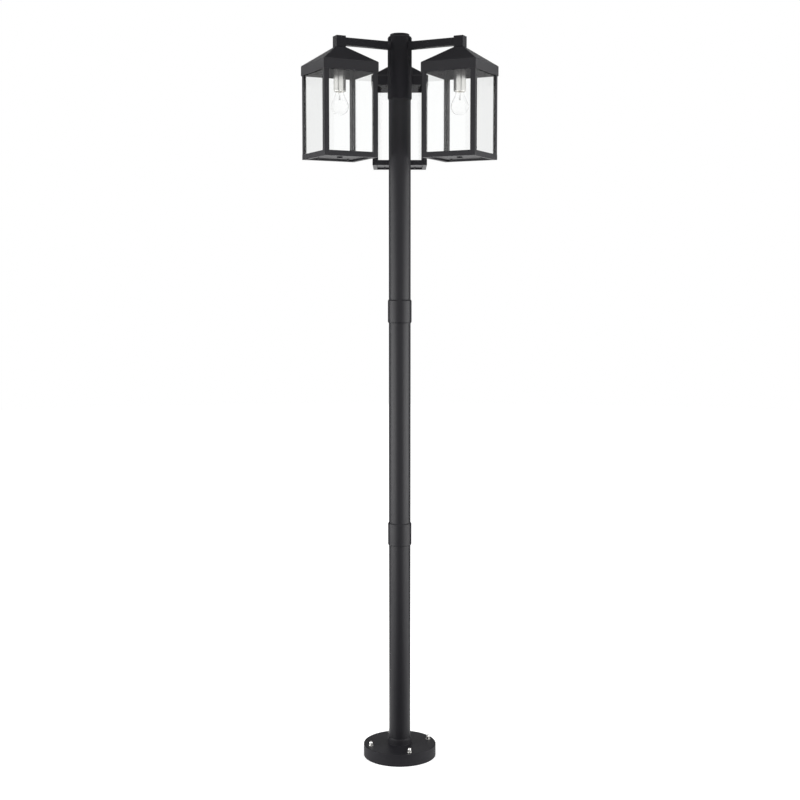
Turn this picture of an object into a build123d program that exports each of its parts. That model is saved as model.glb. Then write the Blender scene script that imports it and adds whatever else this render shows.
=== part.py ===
from build123d import *
import os
from math import atan2, cos, radians, sin

# Outdoor lamp post with three hanging lanterns.
# Sizes are in millimetres. +Z is up, the origin is the middle of the base's underside, and the
# rear lantern hangs towards +Y. Each lantern has a plane of its own, with X away from the post.

# ---- Post ----
pole_diameter = 76.2
pole_wall = 2.0
sleeve_wall = 3.3           # metal of the couplers, the hub and the base socket around a tube
sleeve_gap = 0.1            # between a tube and the sleeve that holds it
coupler_height = 82.0
stop_height = 4.0           # rib inside a coupler, on which both tubes end
sleeve_slope_width = 2.8
sleeve_slope_height = 4.0
lower_joint_height = 804.0  # middle of the lower coupler
upper_joint_height = 1591.0

# ---- Base ----
base_diameter = 258.0
base_height = 43.0
base_plate = 8.0            # top of the casting
base_rim = 8.0
base_edge_radius = 3.0
collar_height = 23.0        # of the socket above the base
collar_slope_width = 2.7
collar_slope_height = 6.0
collar_foot_radius = 2.0
tube_seat = 6.0             # ledge under the lowest tube
cable_hole = 60.0
rib_width = 5.0
rib_clearance = 5.0         # of the ribs above the ground
bolt_margin = 21.0          # bolt centre from the base's edge
bolt_count = 4
bolt_turn = 18.6            # degrees from +X to the first bolt
bolt_hole = 9.0
bolt_boss = 28.0

# ---- Nuts and washers on the anchor bolts ----
washer_diameter = 16.0
washer_bore = 8.6
washer_thickness = 1.6
nut_width = 13.0            # across the flats
nut_hex_height = 6.5
nut_shoulder = 0.4          # dome's edge inside the flats
nut_dome_rise = 2.4         # centre of the dome above the hexagon
nut_bore = 8.2
nut_roof = 4.0              # metal between the bore and the top of the dome

# ---- Hub ----
hub_foot = 2318.5
hub_height = 212.5
hub_grip = 92.0             # length of the top tube inside the hub
hub_top_wall = 7.0
hub_cap_inset = 8.0         # edge of the cap inside the hub's edge
hub_cap_lap = 5.5           # of the cap over the hub's top, round the hole
hub_cap_height = 9.0
hub_cap_bevel_height = 1.2
hub_cap_bevel_width = 1.5
hub_cap_spigot = 12.0
hub_cap_gap = 0.2
grip_screw_diameter = 6.0
grip_screw_rise = 24.0      # above the hub's foot
grip_screw_turns = (60.0, 120.0)

# ---- Arms ----
arm_width = 25.4            # square tube
arm_wall = 2.0
arm_corner_radius = 1.5
arm_drop = 32.6             # centre of the arm below the hub's top
arm_reach = 226.8           # post axis to lantern axis
front_swing = 26.5          # degrees that the two front arms lean towards the front
boss_length = 15.5          # outside of the hub to the arm
spigot_length = 30.0
spigot_gap = 0.1
wire_hole = 13.0

# ---- End block and hollow threaded rod ----
block_side = 4.3            # metal beside the arm
block_overhang = 4.6        # top of the block above the arm
block_underhang = 7.3       # foot of the block below the arm
block_chamfer = 0.8
block_wire_bore = 8.0
pocket_depth = 8.0
pocket_gap = 0.1
rod_diameter = 10.0
rod_bore = 7.0
rod_gap = 0.1
rod_grip = 12.0             # length of the rod in the block
rod_nut_width = 16.0
rod_nut_height = 3.0

# ---- Roof ----
roof_rise = 55.7
fascia_height = 33.0
fascia_gap = 0.3            # around the lantern's frame
roof_sheet = 2.3
roof_top_wall = 3.0

# ---- Lantern frame ----
body_width = 194.0
cage_height = 281.3         # underside of the frame to the foot of the fascia
frame_sheet = 1.5
post_leg = 17.0
post_tuck = 24.0            # of the corner posts inside the fascia
rail_height = 17.8
rail_lip = 15.0             # width of the rail's underside
mitre_gap = 0.2
strap_width = 12.0
strap_inset = 27.0          # strap centre from the edge of the well
weld_gap = 0.1
recess = 6.0                # bottom plate above the frame's underside
plate_thickness = 1.5
plate_gap = 0.3
plate_screw_diameter = 4.0
plate_screw_head = 7.0
plate_screw_head_height = 4.0
plate_screw_edge_radius = 0.5
plate_screw_length = 7.0
drain_diameter = 19.0       # pressed drain in the middle of the bottom plate
drain_depth = 4.5
drain_hole = 5.0
screw_gap = 0.15

# ---- Glass ----
pane_thickness = 3.0
pane_gap = 0.3
pane_tuck = 20.0            # of the panes inside the fascia

# ---- Lamp holder, built outwards from the bulb's cap ----
shell_clearance = 0.35      # around the bulb's cap, so that the bulb turns
shell_wall = 0.5
shell_gap = 0.1
shell_inset = 2.0           # shell above the holder's foot
holder_wall = 3.1
holder_height = 50.0
holder_depth = 29.0
holder_set_back = 1.0       # foot of the holder above the cover's mouth
holder_clearance = 0.7      # to the cover's rolled rim
rod_socket_depth = 9.0
cover_roll = 3.0            # radius of the rolled rim
cover_wall = 1.2
cover_height = 100.0
cover_drop = 58.5           # mouth of the cover below the fascia

# ---- Bulb ----
bulb_diameter = 60.0
bulb_drop = 79.0            # bottom of the bulb below the cover's mouth
bulb_wall = 0.8
bulb_shoulder_turn = 24.0   # degrees above the widest circle where the neck begins
bulb_cap_diameter = 26.5    # over the thread
bulb_neck_inset = 0.45      # glass inside the cap's edge
thread_pitch = 3.6
thread_turns = 5
thread_depth = 0.6
insulator_diameter = 18.0
insulator_height = 3.5
contact_diameter = 9.0
contact_height = 2.0
contact_gap = 0.3
stem_diameter = 9.0
stem_tip_diameter = 5.0
stem_drop = 17.0            # tip of the glass stem below the cover's mouth
filament_drop = 25.0
filament_length = 9.0
filament_diameter = 1.2
lead_diameter = 0.8

# ---- Worked out from the sizes above ----
pole_radius = pole_diameter / 2
pole_bore_radius = pole_radius - pole_wall
sleeve_bore_radius = pole_radius + sleeve_gap
sleeve_radius = sleeve_bore_radius + sleeve_wall
base_radius = base_diameter / 2
bolt_radius = base_radius - bolt_margin
nut_dome_radius = nut_width / 2 - nut_shoulder
hub_top = hub_foot + hub_height
hub_cap_radius = sleeve_radius - hub_cap_inset
hub_hole_radius = hub_cap_radius - hub_cap_lap
arm_height = hub_top - arm_drop
boss_reach = sleeve_radius + boss_length
block_width = arm_width + 2 * block_side
block_top = arm_height + arm_width / 2 + block_overhang
block_foot = arm_height - arm_width / 2 - block_underhang
roof_width = body_width + 2 * (fascia_gap + roof_sheet)
eave = block_foot - roof_rise
fascia_foot = eave - fascia_height
frame_foot = fascia_foot - cage_height
rail_top = frame_foot + rail_height
well_width = body_width - 2 * rail_lip
strap_offset = well_width / 2 - strap_inset
plate_foot = frame_foot + recess
plate_top = plate_foot + plate_thickness
bulb_cap_radius = bulb_cap_diameter / 2
shell_radius = bulb_cap_radius + shell_clearance + shell_wall
holder_bore_radius = shell_radius + shell_gap
holder_radius = holder_bore_radius + holder_wall
cover_radius = holder_radius + holder_clearance + cover_roll
cover_foot = fascia_foot - cover_drop
cover_top = cover_foot + cover_height
holder_foot = cover_foot + holder_set_back
holder_top = holder_foot + holder_height
shell_foot = holder_foot + shell_inset
bulb_cap_foot = shell_foot
contact_top = holder_foot + holder_depth - contact_gap
bulb_foot = cover_foot - bulb_drop
rod_foot = holder_top - rod_socket_depth
rod_top = block_foot + rod_grip
rod_hole_radius = rod_diameter / 2 + rod_gap

os.makedirs("parts", exist_ok=True)


def keep(piece, name):
    """Label a finished piece and write it as its own node."""
    piece.part.label = name
    export_step(piece.part, f"parts/{name}.step")


def upright(plane):
    """The plane's vertical section: X runs out from its axis and Y runs up."""
    return Plane(origin=plane.origin, x_dir=plane.x_dir, z_dir=-plane.y_dir)


def along_arm(turn):
    """A plane across an arm at the post axis: its normal runs along the arm and Y is up."""
    direction = (cos(radians(turn)), sin(radians(turn)), 0)
    return Plane(origin=(0, 0, arm_height), z_dir=direction, x_dir=(-direction[1], direction[0], 0))


lantern_turns = {"left": 180 + front_swing, "right": -front_swing, "rear": 90}

# ---- Base casting: a hollow disc with a tube socket, bolt bosses and ribs ----
with BuildPart() as base_casting:
    with BuildSketch():
        Circle(base_radius)
    extrude(amount=base_height)
    fillet(base_casting.edges().group_by(Axis.Z)[-1], radius=base_edge_radius)
    with BuildSketch():
        Circle(base_radius - base_rim)
    extrude(amount=base_height - base_plate, mode=Mode.SUBTRACT)
    with BuildSketch():
        Circle(sleeve_radius)
    extrude(amount=base_height + collar_height)
    collar_end = base_casting.faces().sort_by(Axis.Z)[-1]
    chamfer(collar_end.edges(), collar_slope_width, collar_slope_height, reference=collar_end)
    collar_foot = base_casting.edges().filter_by(GeomType.CIRCLE).filter_by_position(
        Axis.Z, base_height - 0.1, base_height + 0.1
    ).sort_by(SortBy.RADIUS)[0]
    fillet(collar_foot, radius=collar_foot_radius)
    with BuildSketch():
        with PolarLocations(bolt_radius, bolt_count, start_angle=bolt_turn):
            Circle(bolt_boss / 2)
        Circle(base_radius - base_rim / 2, mode=Mode.INTERSECT)
    extrude(amount=base_height - base_plate / 2)
    rib_length = base_radius - base_rim / 2 - sleeve_bore_radius - sleeve_wall / 2
    rib_middle = base_radius - base_rim / 2 - rib_length / 2
    with BuildSketch(Plane.XY.offset(rib_clearance)):
        with PolarLocations(rib_middle, bolt_count, start_angle=bolt_turn + 180 / bolt_count):
            Rectangle(rib_length, rib_width)
    extrude(amount=base_height - base_plate / 2 - rib_clearance)
    with BuildSketch(Plane.XY.offset(tube_seat)):
        Circle(sleeve_bore_radius)
    extrude(amount=base_height + collar_height, mode=Mode.SUBTRACT)
    with BuildSketch():
        Circle(cable_hole / 2)
        with PolarLocations(bolt_radius, bolt_count, start_angle=bolt_turn):
            Circle(bolt_hole / 2)
    extrude(amount=base_height, mode=Mode.SUBTRACT)
keep(base_casting, "base_casting")

# ---- Washers and domed nuts for the anchor bolts ----
with BuildPart() as anchor_washers:
    with BuildSketch(Plane.XY.offset(base_height)):
        with PolarLocations(bolt_radius, bolt_count, start_angle=bolt_turn):
            Circle(washer_diameter / 2)
            Circle(washer_bore / 2, mode=Mode.SUBTRACT)
    extrude(amount=washer_thickness)
keep(anchor_washers, "anchor_washers")

nut_foot = base_height + washer_thickness
dome_height = nut_foot + nut_hex_height + nut_dome_rise
with BuildPart() as anchor_nuts:
    with BuildSketch(Plane.XY.offset(nut_foot)):
        with PolarLocations(bolt_radius, bolt_count, start_angle=bolt_turn):
            RegularPolygon(radius=nut_width / 2, side_count=6, major_radius=False)
    extrude(amount=nut_hex_height)
    with BuildSketch(Plane.XY.offset(nut_foot)):
        with PolarLocations(bolt_radius, bolt_count, start_angle=bolt_turn):
            Circle(nut_dome_radius)
    extrude(amount=dome_height - nut_foot)
    with Locations((0, 0, dome_height)):
        with PolarLocations(bolt_radius, bolt_count, start_angle=bolt_turn):
            Sphere(nut_dome_radius)
    with BuildSketch(Plane.XY.offset(nut_foot)):
        with PolarLocations(bolt_radius, bolt_count, start_angle=bolt_turn):
            Circle(nut_bore / 2)
    extrude(amount=dome_height + nut_dome_radius - nut_roof - nut_foot, mode=Mode.SUBTRACT)
keep(anchor_nuts, "anchor_nuts")

# ---- Tubes of the post, each from the stop below it to the stop above it ----
tube_spans = {
    "lower_tube": (tube_seat, lower_joint_height - stop_height / 2),
    "middle_tube": (lower_joint_height + stop_height / 2, upper_joint_height - stop_height / 2),
    "upper_tube": (upper_joint_height + stop_height / 2, hub_foot + hub_grip),
}
for name, (foot, top) in tube_spans.items():
    with BuildPart() as tube:
        with BuildSketch(Plane.XY.offset(foot)):
            Circle(pole_radius)
            Circle(pole_bore_radius, mode=Mode.SUBTRACT)
        extrude(amount=top - foot)
    keep(tube, name)

# ---- Couplers: a sleeve over both tubes, with the stop in the middle ----
for name, middle in {"lower_coupler": lower_joint_height, "upper_coupler": upper_joint_height}.items():
    with BuildPart() as coupler:
        with BuildSketch(Plane.XY.offset(middle - coupler_height / 2)):
            Circle(sleeve_radius)
        extrude(amount=coupler_height)
        for end in (0, -1):
            face = coupler.faces().filter_by(Plane.XY).sort_by(Axis.Z)[end]
            chamfer(face.edges(), sleeve_slope_width, sleeve_slope_height, reference=face)
        seat_depth = (coupler_height - stop_height) / 2
        for foot in (middle - coupler_height / 2, middle + stop_height / 2):
            with BuildSketch(Plane.XY.offset(foot)):
                Circle(sleeve_bore_radius)
            extrude(amount=seat_depth, mode=Mode.SUBTRACT)
        with BuildSketch(Plane.XY.offset(middle - stop_height / 2)):
            Circle(pole_bore_radius)
        extrude(amount=stop_height, mode=Mode.SUBTRACT)
    keep(coupler, name)

# ---- Hub: a sleeve on the top tube, with a boss and a spigot for each arm ----
with BuildPart() as hub:
    with BuildSketch(Plane.XY.offset(hub_foot)):
        Circle(sleeve_radius)
    extrude(amount=hub_height)
    for end in (0, -1):
        face = hub.faces().filter_by(Plane.XY).sort_by(Axis.Z)[end]
        chamfer(face.edges(), sleeve_slope_width, sleeve_slope_height, reference=face)
    spigot_width = arm_width - 2 * arm_wall - 2 * spigot_gap
    for turn in lantern_turns.values():
        with BuildSketch(along_arm(turn)):
            Rectangle(arm_width, arm_width)
        extrude(amount=boss_reach)
        with BuildSketch(along_arm(turn)):
            Rectangle(spigot_width, spigot_width)
        extrude(amount=boss_reach + spigot_length)
    with BuildSketch(Plane.XY.offset(hub_foot)):
        Circle(sleeve_bore_radius)
    extrude(amount=hub_grip, mode=Mode.SUBTRACT)
    with BuildSketch(Plane.XY.offset(hub_foot + hub_grip)):
        Circle(pole_bore_radius)
    extrude(amount=hub_height - hub_grip - hub_top_wall, mode=Mode.SUBTRACT)
    with BuildSketch(Plane.XY.offset(hub_top - hub_top_wall)):
        Circle(hub_hole_radius)
    extrude(amount=hub_top_wall, mode=Mode.SUBTRACT)
    for turn in lantern_turns.values():
        with BuildSketch(along_arm(turn)):
            Circle(wire_hole / 2)
        extrude(amount=boss_reach + spigot_length, mode=Mode.SUBTRACT)
    for turn in grip_screw_turns:
        with BuildSketch(along_arm(turn)):
            with Locations((0, hub_foot + grip_screw_rise - arm_height)):
                Circle(grip_screw_diameter / 2 + screw_gap)
        extrude(amount=sleeve_radius, mode=Mode.SUBTRACT)
keep(hub, "hub")

hub_cap_shoulder = hub_top + hub_cap_height - hub_cap_bevel_height
with BuildPart() as hub_cap:
    with BuildSketch(Plane.XY.offset(hub_top)):
        Circle(hub_cap_radius)
    extrude(amount=hub_cap_shoulder - hub_top)
    with BuildSketch(Plane.XY.offset(hub_cap_shoulder)):
        Circle(hub_cap_radius)
    with BuildSketch(Plane.XY.offset(hub_top + hub_cap_height)):
        Circle(hub_cap_radius - hub_cap_bevel_width)
    loft()
    with BuildSketch(Plane.XY.offset(hub_top)):
        Circle(hub_hole_radius - hub_cap_gap)
    extrude(amount=-hub_cap_spigot)
keep(hub_cap, "hub_cap")

with BuildPart() as hub_set_screws:
    for turn in grip_screw_turns:
        with BuildSketch(along_arm(turn).offset(pole_radius)):
            with Locations((0, hub_foot + grip_screw_rise - arm_height)):
                Circle(grip_screw_diameter / 2)
        extrude(amount=sleeve_gap + sleeve_wall)
keep(hub_set_screws, "hub_set_screws")


# ---- Arm and end block ----
def make_arm(side, turn):
    arm_end = arm_reach - block_width / 2 + pocket_depth
    with BuildPart() as arm:
        with BuildSketch(along_arm(turn).offset(boss_reach)):
            RectangleRounded(arm_width, arm_width, arm_corner_radius)
            Rectangle(arm_width - 2 * arm_wall, arm_width - 2 * arm_wall, mode=Mode.SUBTRACT)
        extrude(amount=arm_end - boss_reach)
    keep(arm, f"{side}_arm")


def make_block(side, turn, head):
    with BuildPart() as block:
        with BuildSketch(head.offset(block_foot)):
            Rectangle(block_width, block_width)
        extrude(amount=block_top - block_foot)
        chamfer(block.edges().group_by(Axis.Z)[-1], length=block_chamfer)
        pocket = arm_width + 2 * pocket_gap
        with BuildSketch(along_arm(turn).offset(arm_reach - block_width / 2)):
            Rectangle(pocket, pocket)
        extrude(amount=pocket_depth, mode=Mode.SUBTRACT)
        with BuildSketch(head.offset(block_foot)):
            Circle(rod_hole_radius)
        extrude(amount=rod_grip, mode=Mode.SUBTRACT)
        with BuildSketch(head.offset(block_foot)):
            Circle(rod_bore / 2)
        extrude(amount=arm_height - block_foot, mode=Mode.SUBTRACT)
        with BuildSketch(along_arm(turn).offset(arm_reach - block_width / 2)):
            Circle(block_wire_bore / 2)
        extrude(amount=(block_width + block_wire_bore) / 2, mode=Mode.SUBTRACT)
    keep(block, f"{side}_end_block")


# ---- Roof: four slopes and an upright fascia in one sheet-metal shell ----
def make_roof(side, head):
    slope = atan2(roof_rise, (roof_width - block_width) / 2)
    sheet_rise = roof_sheet / cos(slope)
    ceiling = block_foot - roof_top_wall
    inner_width = roof_width - 2 * roof_sheet
    inner_eave = eave + roof_sheet * sin(slope) / cos(slope) - sheet_rise
    inner_top_width = block_width + 2 * (roof_top_wall - sheet_rise) * cos(slope) / sin(slope)
    with BuildPart() as roof:
        with BuildSketch(head.offset(fascia_foot)):
            Rectangle(roof_width, roof_width)
        extrude(amount=fascia_height)
        with BuildSketch(head.offset(eave)):
            Rectangle(roof_width, roof_width)
        with BuildSketch(head.offset(block_foot)):
            Rectangle(block_width, block_width)
        loft()
        with BuildSketch(head.offset(fascia_foot)):
            Rectangle(inner_width, inner_width)
        extrude(amount=inner_eave - fascia_foot, mode=Mode.SUBTRACT)
        with BuildSketch(head.offset(inner_eave)):
            Rectangle(inner_width, inner_width)
        with BuildSketch(head.offset(ceiling)):
            Rectangle(inner_top_width, inner_top_width)
        loft(mode=Mode.SUBTRACT)
        with BuildSketch(head.offset(ceiling)):
            Circle(rod_hole_radius)
        extrude(amount=roof_top_wall, mode=Mode.SUBTRACT)
    keep(roof, f"{side}_roof")


# ---- Lantern frame: corner angles on a frame of channel rails ----
def make_corner_posts(side, head):
    post_top = fascia_foot + post_tuck
    with BuildPart() as posts:
        with BuildSketch(head.offset(rail_top)):
            with PolarLocations(0, 4):
                with Locations((body_width / 2, body_width / 2)):
                    Rectangle(post_leg, frame_sheet, align=(Align.MAX, Align.MAX))
                    Rectangle(frame_sheet, post_leg, align=(Align.MAX, Align.MAX))
        extrude(amount=post_top - rail_top)
    keep(posts, f"{side}_corner_posts")


def make_bottom_frame(side, head):
    """Four mitred channels that hold the panes, and two straps over the bottom plate."""
    channel_outside = body_width - 2 * frame_sheet
    channel_inside = well_width + 2 * frame_sheet
    inner_leg_height = recess + plate_thickness + frame_sheet
    with BuildPart() as frame:
        with BuildSketch(head.offset(frame_foot)):
            Rectangle(body_width, body_width)
            Rectangle(well_width, well_width, mode=Mode.SUBTRACT)
        extrude(amount=rail_height)
        with BuildSketch(head.offset(frame_foot + frame_sheet)):
            Rectangle(channel_outside, channel_outside)
            Rectangle(channel_inside, channel_inside, mode=Mode.SUBTRACT)
        extrude(amount=rail_height, mode=Mode.SUBTRACT)
        with BuildSketch(head.offset(frame_foot + inner_leg_height)):
            Rectangle(channel_inside, channel_inside)
        extrude(amount=rail_height, mode=Mode.SUBTRACT)
        with BuildSketch(head.offset(frame_foot)):
            with PolarLocations(0, 2, start_angle=45, angular_range=180):
                Rectangle(2 * body_width, mitre_gap)
        extrude(amount=rail_height, mode=Mode.SUBTRACT)
        with BuildSketch(head.offset(plate_top)):
            with Locations((0, strap_offset), (0, -strap_offset)):
                Rectangle(well_width - 2 * weld_gap, strap_width)
            with GridLocations(2 * strap_offset, 2 * strap_offset, 2, 2):
                Circle(plate_screw_diameter / 2 + screw_gap, mode=Mode.SUBTRACT)
        extrude(amount=frame_sheet)
    keep(frame, f"{side}_bottom_frame")


def make_bottom_plate(side, head):
    """A recessed plate with a drain pressed into its middle, and the screws that hold it."""
    plate_width = well_width - 2 * plate_gap
    drain_foot = plate_foot - drain_depth
    with BuildPart() as plate:
        with BuildSketch(head.offset(plate_foot)):
            Rectangle(plate_width, plate_width)
            with GridLocations(2 * strap_offset, 2 * strap_offset, 2, 2):
                Circle(plate_screw_diameter / 2 + screw_gap, mode=Mode.SUBTRACT)
        extrude(amount=plate_thickness)
        with BuildSketch(head.offset(drain_foot)):
            Circle(drain_diameter / 2)
        extrude(amount=drain_depth)
        with BuildSketch(head.offset(drain_foot + plate_thickness)):
            Circle(drain_diameter / 2 - plate_thickness)
        extrude(amount=drain_depth, mode=Mode.SUBTRACT)
        with BuildSketch(head.offset(drain_foot)):
            Circle(drain_hole / 2)
        extrude(amount=plate_thickness, mode=Mode.SUBTRACT)
    keep(plate, f"{side}_bottom_plate")
    with BuildPart() as screws:
        with BuildSketch(head.offset(plate_foot)):
            with GridLocations(2 * strap_offset, 2 * strap_offset, 2, 2):
                Circle(plate_screw_head / 2)
        extrude(amount=-plate_screw_head_height)
        fillet(screws.edges().group_by(Axis.Z)[0], radius=plate_screw_edge_radius)
        with BuildSketch(head.offset(plate_foot)):
            with GridLocations(2 * strap_offset, 2 * strap_offset, 2, 2):
                Circle(plate_screw_diameter / 2)
        extrude(amount=plate_screw_length)
    keep(screws, f"{side}_plate_screws")


def make_panes(side, head):
    pane_foot = frame_foot + frame_sheet
    pane_middle = body_width / 2 - frame_sheet - pane_gap - pane_thickness / 2
    pane_width = 2 * (pane_middle - pane_thickness / 2 - pane_gap)
    with BuildPart() as panes:
        with BuildSketch(head.offset(pane_foot)):
            with PolarLocations(pane_middle, 4):
                Rectangle(pane_thickness, pane_width)
        extrude(amount=fascia_foot + pane_tuck - pane_foot)
    keep(panes, f"{side}_glass_panes")


# ---- Lamp holder, hanging from the end block on a hollow threaded rod ----
def make_rod(side, head):
    with BuildPart() as rod:
        with BuildSketch(head.offset(rod_foot)):
            Circle(rod_diameter / 2)
            Circle(rod_bore / 2, mode=Mode.SUBTRACT)
        extrude(amount=rod_top - rod_foot)
    keep(rod, f"{side}_threaded_rod")
    with BuildPart() as nuts:
        under_roof = block_foot - roof_top_wall - rod_nut_height
        under_cover_top = cover_top - cover_wall - rod_nut_height
        for foot in (under_roof, cover_top, under_cover_top):
            with BuildSketch(head.offset(foot)):
                RegularPolygon(radius=rod_nut_width / 2, side_count=6, major_radius=False)
                Circle(rod_hole_radius, mode=Mode.SUBTRACT)
            extrude(amount=rod_nut_height)
    keep(nuts, f"{side}_rod_nuts")


def make_socket_cover(side, head):
    """A drawn cup, closed at the top, with its lower rim rolled inwards."""
    inside = cover_radius - cover_wall
    mouth = cover_radius - cover_roll
    roll_top = cover_foot + cover_roll
    with BuildPart() as cover:
        with BuildSketch(upright(head)):
            with BuildLine():
                Polyline((rod_hole_radius, cover_top), (cover_radius, cover_top), (cover_radius, roll_top))
                RadiusArc((cover_radius, roll_top), (mouth, cover_foot), cover_roll)
                Line((mouth, cover_foot), (mouth, cover_foot + cover_wall))
                RadiusArc((mouth, cover_foot + cover_wall), (inside, roll_top), cover_wall - cover_roll)
                Polyline(
                    (inside, roll_top),
                    (inside, cover_top - cover_wall),
                    (rod_hole_radius, cover_top - cover_wall),
                    (rod_hole_radius, cover_top),
                )
            make_face()
        revolve(axis=Axis(head.origin, (0, 0, 1)))
    keep(cover, f"{side}_socket_cover")


def make_lamp_holder(side, head):
    with BuildPart() as holder:
        with BuildSketch(head.offset(holder_foot)):
            Circle(holder_radius)
        extrude(amount=holder_height)
        with BuildSketch(head.offset(holder_foot)):
            Circle(holder_bore_radius)
        extrude(amount=holder_depth, mode=Mode.SUBTRACT)
        with BuildSketch(head.offset(rod_foot)):
            Circle(rod_hole_radius)
        extrude(amount=rod_socket_depth, mode=Mode.SUBTRACT)
        with BuildSketch(head.offset(holder_foot)):
            Circle(rod_bore / 2)
        extrude(amount=holder_height, mode=Mode.SUBTRACT)
    keep(holder, f"{side}_lamp_holder")
    with BuildPart() as shell:
        with BuildSketch(head.offset(shell_foot)):
            Circle(shell_radius)
            Circle(shell_radius - shell_wall, mode=Mode.SUBTRACT)
        extrude(amount=holder_foot + holder_depth - shell_foot)
    keep(shell, f"{side}_screw_shell")


# ---- Bulb ----
def make_bulb(side, head):
    axis = Axis(head.origin, (0, 0, 1))
    shoulder_turn = radians(bulb_shoulder_turn)
    centre = bulb_foot + bulb_diameter / 2
    with BuildPart() as glass:
        for inset, mode in ((0, Mode.ADD), (bulb_wall, Mode.SUBTRACT)):
            radius = bulb_diameter / 2 - inset
            neck = bulb_cap_radius - bulb_neck_inset - inset
            shoulder = (radius * cos(shoulder_turn), centre + radius * sin(shoulder_turn))
            upwards = (-sin(shoulder_turn), cos(shoulder_turn))
            with BuildSketch(upright(head)):
                with BuildLine():
                    ThreePointArc((0, centre - radius), (radius, centre), shoulder)
                    Spline(shoulder, (neck, bulb_cap_foot), tangents=(upwards, (0, 1)))
                    Polyline((neck, bulb_cap_foot), (0, bulb_cap_foot), (0, centre - radius))
                make_face()
            revolve(axis=axis, mode=mode)
    keep(glass, f"{side}_bulb_glass")

    contact_foot = contact_top - contact_height
    insulator_foot = contact_foot - insulator_height
    with BuildPart() as cap:
        with BuildSketch(upright(head)):
            with BuildLine():
                Line((0, bulb_cap_foot), (bulb_cap_radius, bulb_cap_foot))
                for lap in range(thread_turns):
                    foot = bulb_cap_foot + lap * thread_pitch
                    groove = (bulb_cap_radius - thread_depth, foot + thread_pitch / 2)
                    ThreePointArc((bulb_cap_radius, foot), groove, (bulb_cap_radius, foot + thread_pitch))
                Polyline(
                    (bulb_cap_radius, bulb_cap_foot + thread_turns * thread_pitch),
                    (insulator_diameter / 2, insulator_foot),
                    (contact_diameter / 2, contact_foot),
                    (contact_diameter / 2, contact_top),
                    (0, contact_top),
                    (0, bulb_cap_foot),
                )
            make_face()
        revolve(axis=axis)
    keep(cap, f"{side}_bulb_cap")

    stem_tip = cover_foot - stem_drop
    filament_height = cover_foot - filament_drop
    with BuildPart() as mount:
        with BuildSketch(head.offset(bulb_cap_foot)):
            Circle(stem_diameter / 2)
        with BuildSketch(head.offset(stem_tip)):
            Circle(stem_tip_diameter / 2)
        loft()
        lead_height = stem_tip - filament_height + filament_diameter
        with BuildSketch(head.offset(filament_height)):
            with Locations((0, filament_length / 2), (0, -filament_length / 2)):
                Circle(lead_diameter / 2)
        extrude(amount=lead_height)
        with BuildSketch(upright(head)):
            with Locations((0, filament_height)):
                Circle(filament_diameter / 2)
        extrude(amount=filament_length / 2 + lead_diameter, both=True)
        with BuildSketch(upright(head)):
            with Locations((0, stem_tip + filament_diameter)):
                Circle(filament_diameter / 2)
        extrude(amount=filament_length / 2 + lead_diameter, both=True)
    keep(mount, f"{side}_bulb_mount")


for side, turn in lantern_turns.items():
    outward = (cos(radians(turn)), sin(radians(turn)), 0)
    centre = (arm_reach * outward[0], arm_reach * outward[1], 0)
    head = Plane(origin=centre, x_dir=outward, z_dir=(0, 0, 1))
    make_arm(side, turn)
    make_block(side, turn, head)
    make_roof(side, head)
    make_corner_posts(side, head)
    make_bottom_frame(side, head)
    make_bottom_plate(side, head)
    make_panes(side, head)
    make_rod(side, head)
    make_socket_cover(side, head)
    make_lamp_holder(side, head)
    make_bulb(side, head)
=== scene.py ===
from functools import cached_property
from math import atan2, cos, pi, radians, sin, sqrt, tan

import bmesh
import bpy
from bpy.props import FloatProperty, FloatVectorProperty, IntProperty, PointerProperty
from bpy.types import Operator, Panel, PropertyGroup
from mathutils import Matrix, Vector
from mathutils.geometry import interpolate_bezier


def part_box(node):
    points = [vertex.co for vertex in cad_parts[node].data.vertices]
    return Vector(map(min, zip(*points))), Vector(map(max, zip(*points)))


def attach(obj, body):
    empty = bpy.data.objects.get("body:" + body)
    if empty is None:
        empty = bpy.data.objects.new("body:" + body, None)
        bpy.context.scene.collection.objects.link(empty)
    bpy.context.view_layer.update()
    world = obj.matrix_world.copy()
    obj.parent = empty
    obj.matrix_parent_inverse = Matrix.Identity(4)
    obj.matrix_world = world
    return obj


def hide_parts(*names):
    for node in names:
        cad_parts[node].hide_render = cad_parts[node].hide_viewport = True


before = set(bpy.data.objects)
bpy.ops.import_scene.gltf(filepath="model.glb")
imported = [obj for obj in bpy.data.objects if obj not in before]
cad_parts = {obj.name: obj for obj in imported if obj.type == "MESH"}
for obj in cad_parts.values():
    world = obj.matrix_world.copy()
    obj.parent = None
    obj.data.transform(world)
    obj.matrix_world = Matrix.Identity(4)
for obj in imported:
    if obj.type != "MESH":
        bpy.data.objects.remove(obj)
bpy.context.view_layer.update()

# Dresses a lamp post with three hanging lanterns. Sizes are in metres and +Z is up.
# A lantern's own X runs away from the post, and its own Z is the axis of its lamp holder.

bl_info = {
    "name": "Triple Head Lamp Post",
    "version": (1, 0, 0),
    "blender": (4, 5, 0),
    "location": "View3D > Sidebar > Lamp Post",
    "description": "Finishes the frame of a lamp post with three glazed lanterns",
    "category": "Add Mesh",
}

MM = 0.001
SIDES = ("left", "right", "rear")
ROUND = 96              # segments of a large turned piece
SMALL_ROUND = 48        # segments of a screw, nut or wire
NEAR = 0.01 * MM        # heights that differ by less count as one
TOUCH = 0.001 * MM      # the same for flat faces
ROD_HOLE = 5.1 * MM     # radius of the holes around the threaded rods
ROD_BORE = 3.5 * MM     # radius inside the threaded rods
STEM_TIP = 8.6 * MM     # from a bulb mount's foot to the tip of its glass
REFRACTIONS = 8         # surfaces of glass that refract, one behind another


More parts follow.
